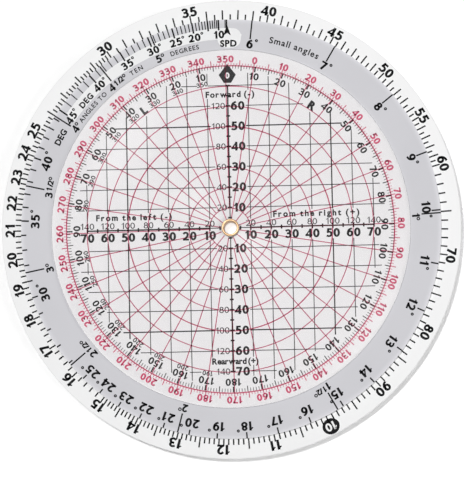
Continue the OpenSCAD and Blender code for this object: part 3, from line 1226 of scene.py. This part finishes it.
# Rose disc
# A clear plastic sheet, die-cut round with a softened edge, that turns by itself over the wind disc.
# What lies under it shows through; its cut edge is hazy and its faces shine when seen aslant.
ROSE_EDGE = 0.12
CLEAR_TINT = (0.988, 0.9825, 0.9845)
CLEAR_VEIL = 0.012
GRAZING_SHEEN = 0.9
SHEEN_POWER = 5
CUT_EDGE_HAZE = 0.75

clear_sheet = satin(
    "clear_sheet",
    tones=((0.88, 0.89, 0.90), (0.91, 0.92, 0.93)),
    gloss=(0.08, 0.20),
    patch=11.0,
    grain=1.1,
    depth=0.0005,
    shine=0.5,
)


def see_through(finish, tint):
    """Makes a finish clear and tinted at each face, and gives the socket for the share that stays solid."""
    tree = finish.node_tree
    through = tree.nodes.new("ShaderNodeBsdfTransparent")
    through.inputs["Color"].default_value = (*tint, 1)
    mix = tree.nodes.new("ShaderNodeMixShader")
    tree.links.new(through.outputs[0], mix.inputs[1])
    tree.links.new(tree.nodes["Principled BSDF"].outputs[0], mix.inputs[2])
    tree.links.new(mix.outputs[0], tree.nodes["Material Output"].inputs["Surface"])
    return mix.inputs[0]


clear_tree = clear_sheet.node_tree
facing = clear_tree.nodes.new("ShaderNodeLayerWeight").outputs["Facing"]
grazing = maths(clear_tree, "POWER", facing, SHEEN_POWER)
sheen = maths(clear_tree, "MULTIPLY_ADD", grazing, GRAZING_SHEEN, CLEAR_VEIL)
lie = clear_tree.nodes.new("ShaderNodeSeparateXYZ")
clear_tree.links.new(clear_tree.nodes.new("ShaderNodeTexCoord").outputs["Normal"], lie.inputs[0])
upright = maths(clear_tree, "SUBTRACT", 1, maths(clear_tree, "ABSOLUTE", lie.outputs["Z"]))
haze = maths(clear_tree, "MULTIPLY_ADD", upright, CUT_EDGE_HAZE, sheen)
clear_tree.links.new(haze, see_through(clear_sheet, CLEAR_TINT))

rose_disc = round_sheet("rose_disc_sheet", "rose_disc", TURNING_HOLE_R, ROSE_EDGE, clear_sheet)
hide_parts("rose_disc")
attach(rose_disc, "rose")

# Compass rose
# Thin red ink on the underside of the clear disc, which lets black print under it show through:
# a degree circle with numbers round it, a distance circle every ten units and a line every ten degrees.
ROSE_TURN = 8.1
ROSE_REGISTER = (-0.08, -0.17)
ROSE_INK_GAP = 0.002
ROSE_CIRCLE_W = 0.26
ROSE_LINE_W = 0.185
ROSE_BOLD_W = 0.235
ROSE_STEM = 0.25
ROSE_MARK_W = 0.12
ROSE_NUMBER_R = 37.74
ROSE_NUMBER_CAP = 1.58
EYELET_CLEAR_R = 1.98
RED_TINT = (0.968, 0.578, 0.703)
DEEP_RED_TINT = (0.90, 0.44, 0.618)
RED_SOLID = 0.08
ROSE_FINE_MARK = 0.60
ROSE_FIVE_MARK = 1.25
ROSE_TEN_MARK = 0.95


def thin_red_ink(name, tint):
    """Red ink that lets the print under it show."""
    ink = screen_ink(name, (0.60, 0.028, 0.10), (0.65, 0.036, 0.12))
    see_through(ink, tint).default_value = RED_SOLID
    return ink


red_ink = thin_red_ink("red_ink", RED_TINT)
deep_red_ink = thin_red_ink("deep_red_ink", DEEP_RED_TINT)
rose_ink_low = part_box("rose_disc")[0].z - (INK_T + ROSE_INK_GAP) * MM

rose_lines = Print(deep_red_ink, ROSE_TURN, INK_T, ROSE_REGISTER)
for ten in range(1, GRID_LAST + 1):
    rose_lines.ring(ten * GRID_STEP, ROSE_BOLD_W if ten == BOLD_TEN else ROSE_LINE_W)
rose_lines.marks(even_angle, 0, 10, 36, GRID_STEP, ROSE_CIRCLE_R, ROSE_LINE_W)
rose_lines.marks(even_angle, 0, 30, 12, EYELET_CLEAR_R, GRID_STEP, ROSE_LINE_W)
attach(rose_lines.piece("rose_lines", rose_ink_low), "rose")

rose_marks = Print(red_ink, ROSE_TURN, INK_T, ROSE_REGISTER)
rose_marks.ring(ROSE_CIRCLE_R, ROSE_CIRCLE_W)
fine_mark_high = ROSE_CIRCLE_R + ROSE_FINE_MARK
rose_marks.marks(even_angle, 0, 1, 360, ROSE_CIRCLE_R, fine_mark_high, ROSE_MARK_W, skip=(5, 0))
rose_marks.marks(even_angle, 5, 10, 36, ROSE_CIRCLE_R, ROSE_CIRCLE_R + ROSE_FIVE_MARK, THIN_MARK_W)
rose_marks.marks(even_angle, 0, 10, 36, ROSE_CIRCLE_R, ROSE_CIRCLE_R + ROSE_TEN_MARK, THIN_MARK_W)
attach(rose_marks.piece("rose_marks", rose_ink_low), "rose")

rose_numbers = Print(red_ink, ROSE_TURN, INK_T, ROSE_REGISTER)
for angle in range(0, 360, 10):
    rose_numbers.round_number(angle, ROSE_NUMBER_CAP, angle, ROSE_NUMBER_R, ROSE_STEM)
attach(rose_numbers.piece("rose_numbers", rose_ink_low), "rose")

# Rear slip washer
# The same thin washer between the base disc and the calculator disc.
slip_washer("rear_slip_washer")

# Calculator disc
# The rear disc: white core and two face sheets, die-cut together with three reading windows.
# Its outer face carries the turning logarithmic scale against the fixed one on the base.
CALCULATOR_WINDOWS = 3
CALCULATOR_WINDOW_ARC = 16.0
CALCULATOR_WINDOW_R = (26.6, 30.2)
WINDOW_STEPS = 24
FIRST_WINDOW = 90
SOFT_EDGE_SEGMENTS = 2
SOFT_EDGE_ANGLE = 60


def cut_sheet(name, outlines, low, high, edge, finish):
    """A flat sheet between two heights in metres, cut to an outer outline and inner ones, edges softened."""
    flat = [point for outline in outlines for point in outline]
    loops = [[(x, y, 0.0) for x, y in outline] for outline in outlines]
    size = len(flat)
    points = [(x * MM, y * MM, low) for x, y in flat] + [(x * MM, y * MM, high) for x, y in flat]
    faces = []
    for a, b, c in tessellate_polygon(loops):
        (ax, ay), (bx, by), (cx, cy) = flat[a], flat[b], flat[c]
        if (bx - ax) * (cy - ay) - (cx - ax) * (by - ay) < 0:
            b, c = c, b
        faces += [(size + a, size + b, size + c), (c, b, a)]
    first = 0
    for place, outline in enumerate(outlines):
        count = len(outline)
        pairs = zip(outline, outline[1:] + outline[:1])
        turns_left = sum(x0 * y1 - x1 * y0 for (x0, y0), (x1, y1) in pairs) > 0
        for i in range(count):
            a, b = first + i, first + (i + 1) % count
            if turns_left != (place == 0):
                a, b = b, a
            faces.append((a, b, size + b, size + a))
        first += count
    sheet = add_piece(name, points, faces, finish)
    soften = sheet.modifiers.new("soft_edges", "BEVEL")
    soften.width = edge * MM
    soften.segments = SOFT_EDGE_SEGMENTS
    soften.limit_method = "ANGLE"
    soften.angle_limit = math.radians(SOFT_EDGE_ANGLE)
    return sheet


turning_hole = arc(TURNING_HOLE_R, 0, 360, SMALL_ROUND_STEPS)[:-1]
calculator_outlines = [arc(calculator_rim_r, 0, 360, RIM_STEPS)[:-1], turning_hole]
for window in range(CALCULATOR_WINDOWS):
    middle = FIRST_WINDOW + 360 / CALCULATOR_WINDOWS * window
    ends = (middle - CALCULATOR_WINDOW_ARC / 2, middle + CALCULATOR_WINDOW_ARC / 2)
    inner = arc(CALCULATOR_WINDOW_R[0], *ends, WINDOW_STEPS)
    outer = arc(CALCULATOR_WINDOW_R[1], *ends, WINDOW_STEPS)
    calculator_outlines.append(outer + inner[::-1])

CALCULATOR_LAYERS = (
    ("calculator_disc_inner_face", FACE_EDGE, white_face, "white_face"),
    ("calculator_disc_core", CORE_EDGE, white_vinyl, "white_vinyl"),
    ("calculator_disc_outer_face", FACE_EDGE, white_face, "white_face"),
)
for node, edge, finish, slot in CALCULATOR_LAYERS:
    low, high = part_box(node)
    layer = cut_sheet(node + "_sheet", calculator_outlines, low.z, high.z, edge, finish)
    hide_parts(node)
    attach(layer, "calculator_disc")

# Calculator disc print
# Black ink on the outer face: the turning scale at the edge, hours and minutes inside it,
# a black triangle at sixty for rates, and a plain even scale round the middle.
CALCULATOR_TURN = 31.0
CALCULATOR_NUMBER_R = 40.3
HOUR_RING_R = 37.9
HOUR_NUMBER_R = 36.3
HOUR_NUMBER_CAP = 1.45
HOURS = (60, 70, 80, 90, 120, 150, 180, 210, 240, 300, 360, 420, 480, 540)
RATE_VALUE = 60
RATE_TIP_R = 43.6
RATE_BASE_R = 38.9
RATE_HALF_W = 2.1
EVEN_RING_R = 19.5
EVEN_SPAN = 150
EVEN_NUMBER_CAP = 1.3
EVEN_NUMBER_OFF = 2.5
EVEN_MARK = 1.0
EVEN_LONG_MARK = 1.6
# side of the ring, degrees between fine marks and between numbers, first number and step
EVEN_SCALES = ((1, 3, 15, -50, 5), (-1, 5, 25, -60, 15))
CALCULATOR_MARK_INSET = 0.55
HOUR_MARK = 0.7
RATE_NUMBER_OFF = 1.2

calculator_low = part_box("calculator_disc_outer_face")[0].z
calculator_marks = Print(black_ink, CALCULATOR_TURN)
rule_scale(calculator_marks, calculator_rim_r, -1, -CALCULATOR_MARK_INSET)
calculator_marks.ring(HOUR_RING_R, MARK_W)
for minutes in HOURS:
    calculator_marks.marks(log_angle, minutes, 1, 1, HOUR_RING_R - HOUR_MARK, HOUR_RING_R)
calculator_marks.ring(EVEN_RING_R, MARK_W)
for side, fine_step, number_step, first, step in EVEN_SCALES:
    rows = ((fine_step, EVEN_MARK, THIN_MARK_W), (number_step, EVEN_LONG_MARK, MARK_W))
    for degrees, length, width in rows:
        count = 2 * EVEN_SPAN // degrees + 1
        end_r = EVEN_RING_R + side * length
        calculator_marks.marks(even_angle, -EVEN_SPAN, degrees, count, EVEN_RING_R, end_r, width)
rate_angle = log_angle(RATE_VALUE)
side_angle = math.degrees(RATE_HALF_W / RATE_BASE_R)
calculator_marks.patch(
    [
        clock(rate_angle, RATE_TIP_R),
        clock(rate_angle + side_angle, RATE_BASE_R),
        clock(rate_angle - side_angle, RATE_BASE_R),
    ]
)
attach(calculator_marks.piece("calculator_disc_marks", calculator_low, down=True), "calculator_disc")

calculator_numbers = Print(black_ink, CALCULATOR_TURN)
for value in (10, *RULE_NUMBERS):
    if value != RATE_VALUE:
        calculator_numbers.round_number(value, REAR_NUMBER_CAP, log_angle(value), CALCULATOR_NUMBER_R)
for minutes in HOURS:
    hours = f"{minutes // 60}:{minutes % 60:02d}"
    calculator_numbers.round_number(hours, HOUR_NUMBER_CAP, log_angle(minutes), HOUR_NUMBER_R)
for side, fine_step, number_step, first, step in EVEN_SCALES:
    number_r = EVEN_RING_R + side * EVEN_NUMBER_OFF
    for place in range(2 * EVEN_SPAN // number_step + 1):
        angle = place * number_step - EVEN_SPAN
        calculator_numbers.round_number(first + place * step, EVEN_NUMBER_CAP, angle, number_r)
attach(calculator_numbers.piece("calculator_disc_numbers", calculator_low, down=True), "calculator_disc")

rate_number = Print(white_ink, CALCULATOR_TURN, OVERPRINT_T)
rate_number.round_number(RATE_VALUE, EVEN_NUMBER_CAP, rate_angle, RATE_BASE_R + RATE_NUMBER_OFF)
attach(rate_number.piece("calculator_disc_rate_number", calculator_low, down=True), "calculator_disc")

# Cursor slip washer
# The last thin washer, between the calculator disc and the cursor.
slip_washer("cursor_slip_washer")

# Cursor
# A clear plastic arm with a round hub on the eyelet and a fine line engraved along its middle.
# The line is filled with red ink, on the face next to the scales.
CURSOR_HUB_R = 6.5
CURSOR_ROOT_W = 10.5
CURSOR_TIP_W = 8.0
CURSOR_TIP_R = 50.2
CURSOR_ANGLE = 90 - 62
CURSOR_EDGE = 0.12
HAIRLINE_W = 0.16
HAIRLINE_T = 0.07
HAIRLINE_INSET = 0.3
HUB_STEPS = 60
TIP_STEPS = 12

cursor_low, cursor_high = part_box("cursor")
hub_leave = math.degrees(math.asin(CURSOR_ROOT_W / 2 / CURSOR_HUB_R))
tip_half = math.degrees(math.asin(CURSOR_TIP_W / 2 / CURSOR_TIP_R))
cursor_outline = arc(CURSOR_HUB_R, CURSOR_ANGLE + hub_leave, CURSOR_ANGLE + 360 - hub_leave, HUB_STEPS)
cursor_outline += arc(CURSOR_TIP_R, CURSOR_ANGLE - tip_half, CURSOR_ANGLE + tip_half, TIP_STEPS)
cursor = cut_sheet(
    "cursor_arm_sheet",
    [cursor_outline, turning_hole],
    cursor_low.z,
    cursor_high.z,
    CURSOR_EDGE,
    clear_sheet,
)
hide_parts("cursor")
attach(cursor, "cursor_arm")

hairline = Print(deep_red_ink, CURSOR_ANGLE, HAIRLINE_T)
hairline.marks(even_angle, 0, 1, 1, CURSOR_HUB_R, CURSOR_TIP_R - HAIRLINE_INSET, HAIRLINE_W)
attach(hairline.piece("cursor_hairline", cursor_high.z - HAIRLINE_T * MM), "cursor_arm")

# Eyelet and clinch washer
# A hollow brass eyelet, drawn from sheet: a domed flange on the wind side, a straight barrel,
# and a rear end rolled over a brass washer, which holds the stack together.
EYELET_BORE_R = 1.40
EYELET_BARREL_R = 1.60
EYELET_STEPS = 120
DOME_STEPS = 10
ROLL_R = 0.125
ROLL_H = 0.45
FLANGE_R = 1.94
FLANGE_H = 0.35
FLANGE_CROWN = 0.17
CORNER_STEPS = 4
BRASS_TONES = ((0.45, 0.300, 0.180), (0.378, 0.250, 0.140))
BRASS_GLOSS = (0.32, 0.44)
TARNISH_PER_M = 1500
DRAWN_LINES_PER_M = 6000
DRAWN_WANDER = 2.0
DRAWN_STRENGTH = 0.3
DRAWN_DEPTH = 0.004

brass = bpy.data.materials.new("brass")
brass.use_nodes = True
brass_tree = brass.node_tree
metal = brass_tree.nodes["Principled BSDF"]
metal.inputs["Metallic"].default_value = 1.0
tarnish = spread(brass_tree, cloud(brass_tree, TARNISH_PER_M, GRAIN_DETAIL), 0.0, 1.0)
brass_tone = two_tones(brass_tree, tarnish, *BRASS_TONES)
brass_tree.links.new(brass_tone, metal.inputs["Base Color"])
turning = brass_tree.nodes.new("ShaderNodeTexWave")
turning.wave_type = "RINGS"
turning.rings_direction = "Z"
turning.inputs["Scale"].default_value = DRAWN_LINES_PER_M
turning.inputs["Distortion"].default_value = DRAWN_WANDER
brass_place = brass_tree.nodes.new("ShaderNodeTexCoord")
brass_tree.links.new(brass_place.outputs["Object"], turning.inputs["Vector"])
brass_tree.links.new(spread(brass_tree, turning.outputs["Fac"], *BRASS_GLOSS), metal.inputs["Roughness"])
drawn = brass_tree.nodes.new("ShaderNodeBump")
drawn.inputs["Strength"].default_value = DRAWN_STRENGTH
drawn.inputs["Distance"].default_value = DRAWN_DEPTH * MM
brass_tree.links.new(turning.outputs["Fac"], drawn.inputs["Height"])
brass_tree.links.new(drawn.outputs["Normal"], metal.inputs["Normal"])

eyelet_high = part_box("eyelet")[1]
roll_rim_r = eyelet_high.y / MM
eyelet_top = eyelet_high.z / MM
flange_low = eyelet_top - FLANGE_H
dome_side = eyelet_top - FLANGE_CROWN
dome_middle = (EYELET_BORE_R + FLANGE_R) / 2
dome_half = (FLANGE_R - EYELET_BORE_R) / 2


def rolled_corner(r, z, start, end):
    """A rounded corner of the eyelet's rolled end, between two angles from the outward direction."""
    sweep = [math.radians(start + (end - start) * i / CORNER_STEPS) for i in range(CORNER_STEPS + 1)]
    return [(r + ROLL_R * math.cos(a), z + ROLL_R * math.sin(a)) for a in sweep]


eyelet_profile = rolled_corner(EYELET_BORE_R + ROLL_R, ROLL_R, 180, 270)
eyelet_profile += rolled_corner(roll_rim_r - ROLL_R, ROLL_R, -90, 0)
eyelet_profile += rolled_corner(roll_rim_r - ROLL_R, ROLL_H - ROLL_R, 0, 90)
eyelet_profile += [(EYELET_BARREL_R, ROLL_H), (EYELET_BARREL_R, flange_low), (FLANGE_R, flange_low)]
for step in range(DOME_STEPS + 1):
    angle = math.pi * step / DOME_STEPS
    rise = dome_side + FLANGE_CROWN * math.sin(angle)
    eyelet_profile.append((dome_middle + dome_half * math.cos(angle), rise))
eyelet = turned("eyelet_tube", eyelet_profile, brass, EYELET_STEPS)
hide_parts("eyelet")
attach(eyelet, "base")

clinch_washer = round_sheet(
    "clinch_washer_ring", "clinch_washer", FIXED_HOLE_R, WASHER_EDGE, brass, WASHER_STEPS
)
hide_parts("clinch_washer")
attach(clinch_washer, "base")

# Floor
# A pale table that the rule lies on, seen white by the camera but still holding the rule's shadow.
# A spot under the eyelet glows brighter than the table: painted light that keeps the eyelet's hollow middle
# as bright as the table round the rule, where the bore would shade it.
FLOOR_SIZE = 6.0
FLOOR_GLOW = 0.175
FLOOR_COLOUR = (0.98, 0.98, 0.98)
FLOOR_ROUGHNESS = 0.9
SPOT_R = 1.38
SPOT_HEIGHT = 0.02
SPOT_GLOW = 0.80


def stage_plane(name, outline, height, finish):
    """A flat stage piece from an outline in metres."""
    plane = add_piece(name, [(x, y, height) for x, y in outline], [range(len(outline))], finish)
    plane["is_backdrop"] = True


def seen_white(tree):
    """One for what the camera sees, straight or in a mirror or through clear sheet, and nothing otherwise."""
    path = tree.nodes.new("ShaderNodeLightPath")
    seen = path.outputs["Is Camera Ray"]
    for kind in ("Is Glossy Ray", "Is Transmission Ray"):
        seen = maths(tree, "MAXIMUM", seen, path.outputs[kind])
    return seen


def stage_finish(name, colour, glow):
    """A matt surface that glows a little for the camera, and for what mirrors or lets through its view."""
    finish = bpy.data.materials.new(name)
    finish.use_nodes = True
    tree = finish.node_tree
    skin = tree.nodes["Principled BSDF"]
    skin.inputs["Base Color"].default_value = (*colour, 1)
    skin.inputs["Roughness"].default_value = FLOOR_ROUGHNESS
    skin.inputs["Emission Color"].default_value = (1, 1, 1, 1)
    tree.links.new(maths(tree, "MULTIPLY", seen_white(tree), glow), skin.inputs["Emission Strength"])
    return finish


half = FLOOR_SIZE / 2
floor_height = cad_box[0][2]
stage_plane(
    "floor",
    [(-half, -half), (half, -half), (half, half), (-half, half)],
    floor_height,
    stage_finish("floor_paint", FLOOR_COLOUR, FLOOR_GLOW),
)
spot_outline = [(x * MM, y * MM) for x, y in arc(SPOT_R, 0, 360, SMALL_ROUND_STEPS)[:-1]]
# painted light: the floor seen down the eyelet's bore glows so that the bore's shade does not show
stage_plane(
    "eyelet_spot",
    spot_outline[::-1],
    floor_height + SPOT_HEIGHT * MM,
    stage_finish("spot_paint", FLOOR_COLOUR, SPOT_GLOW),
)

# Studio light
# A far soft box on the upper left gives the shadow on the table, a near wide one on the right the soft
# shadows at the left edges of the discs, and even light comes from all round.
KEY_AT = (-0.62, 0.62, 2.88)
KEY_SIZE = 0.4
KEY_POWER = 54.0
FILL_AT = (1.03, -0.28, 0.75)
FILL_SIZE = 0.9
FILL_POWER = 6.2
ROOM_LIGHT = 0.173

aim_point = bpy.data.objects.new("aim_point", None)
bpy.context.collection.objects.link(aim_point)


def soft_box(name, at, size, power):
    """A round soft box that points at the rule."""
    lamp = bpy.data.lights.new(name, "AREA")
    lamp.shape = "DISK"
    lamp.size = size
    lamp.energy = power
    box = bpy.data.objects.new(name, lamp)
    box.location = at
    bpy.context.collection.objects.link(box)
    aim = box.constraints.new("TRACK_TO")
    aim.target = aim_point
    aim.track_axis = "TRACK_NEGATIVE_Z"
    aim.up_axis = "UP_Y"


soft_box("key_box", KEY_AT, KEY_SIZE, KEY_POWER)
soft_box("fill_box", FILL_AT, FILL_SIZE, FILL_POWER)

room = bpy.data.worlds.new("room")
bpy.context.scene.world = room
room.use_nodes = True
room_tree = room.node_tree
room_tree.nodes["Background"].inputs["Color"].default_value = (1, 1, 1, 1)
room_strength = maths(room_tree, "MULTIPLY_ADD", seen_white(room_tree), 1 - ROOM_LIGHT, ROOM_LIGHT)
room_tree.links.new(room_strength, room_tree.nodes["Background"].inputs["Strength"])

# Camera
# Nearly above the rule, a little off to its lower right, framed as the photograph is: 464 by 500 pixels.
# The lens is shifted so that the eyelet's axis falls on its place in the picture.
PICTURE_SIZE = (464, 500)
PIXEL = 0.22085 * MM
RULE_MIDDLE = (230.5, 228.05)
CAMERA_DISTANCE = 0.58
CAMERA_LEAN = 5.8
CAMERA_SIDE = 147
SENSOR = 36.0

lens = bpy.data.cameras.new("camera")
lens.sensor_fit = "VERTICAL"
lens.sensor_height = SENSOR
lens.lens = SENSOR * CAMERA_DISTANCE / (PICTURE_SIZE[1] * PIXEL)
lens.shift_x = (PICTURE_SIZE[0] / 2 - RULE_MIDDLE[0]) / PICTURE_SIZE[1]
lens.shift_y = (RULE_MIDDLE[1] - PICTURE_SIZE[1] / 2) / PICTURE_SIZE[1]
camera = bpy.data.objects.new("camera", lens)
lean = math.radians(CAMERA_LEAN)
out_x, out_y = clock(CAMERA_SIDE, math.sin(lean))
back = Vector((out_x, out_y, math.cos(lean)))
right = (Vector((1, 0, 0)) - back * back.x).normalized()
camera.location = Vector((0, 0, base_front_top)) + CAMERA_DISTANCE * back
camera.rotation_euler = Matrix((right, back.cross(right), back)).transposed().to_euler()
bpy.context.collection.objects.link(camera)
bpy.context.scene.camera = camera

boxes = {"cad": cad_box, "visual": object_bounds()}
{name: [list(corner) for corner in box] for name, box in boxes.items()}
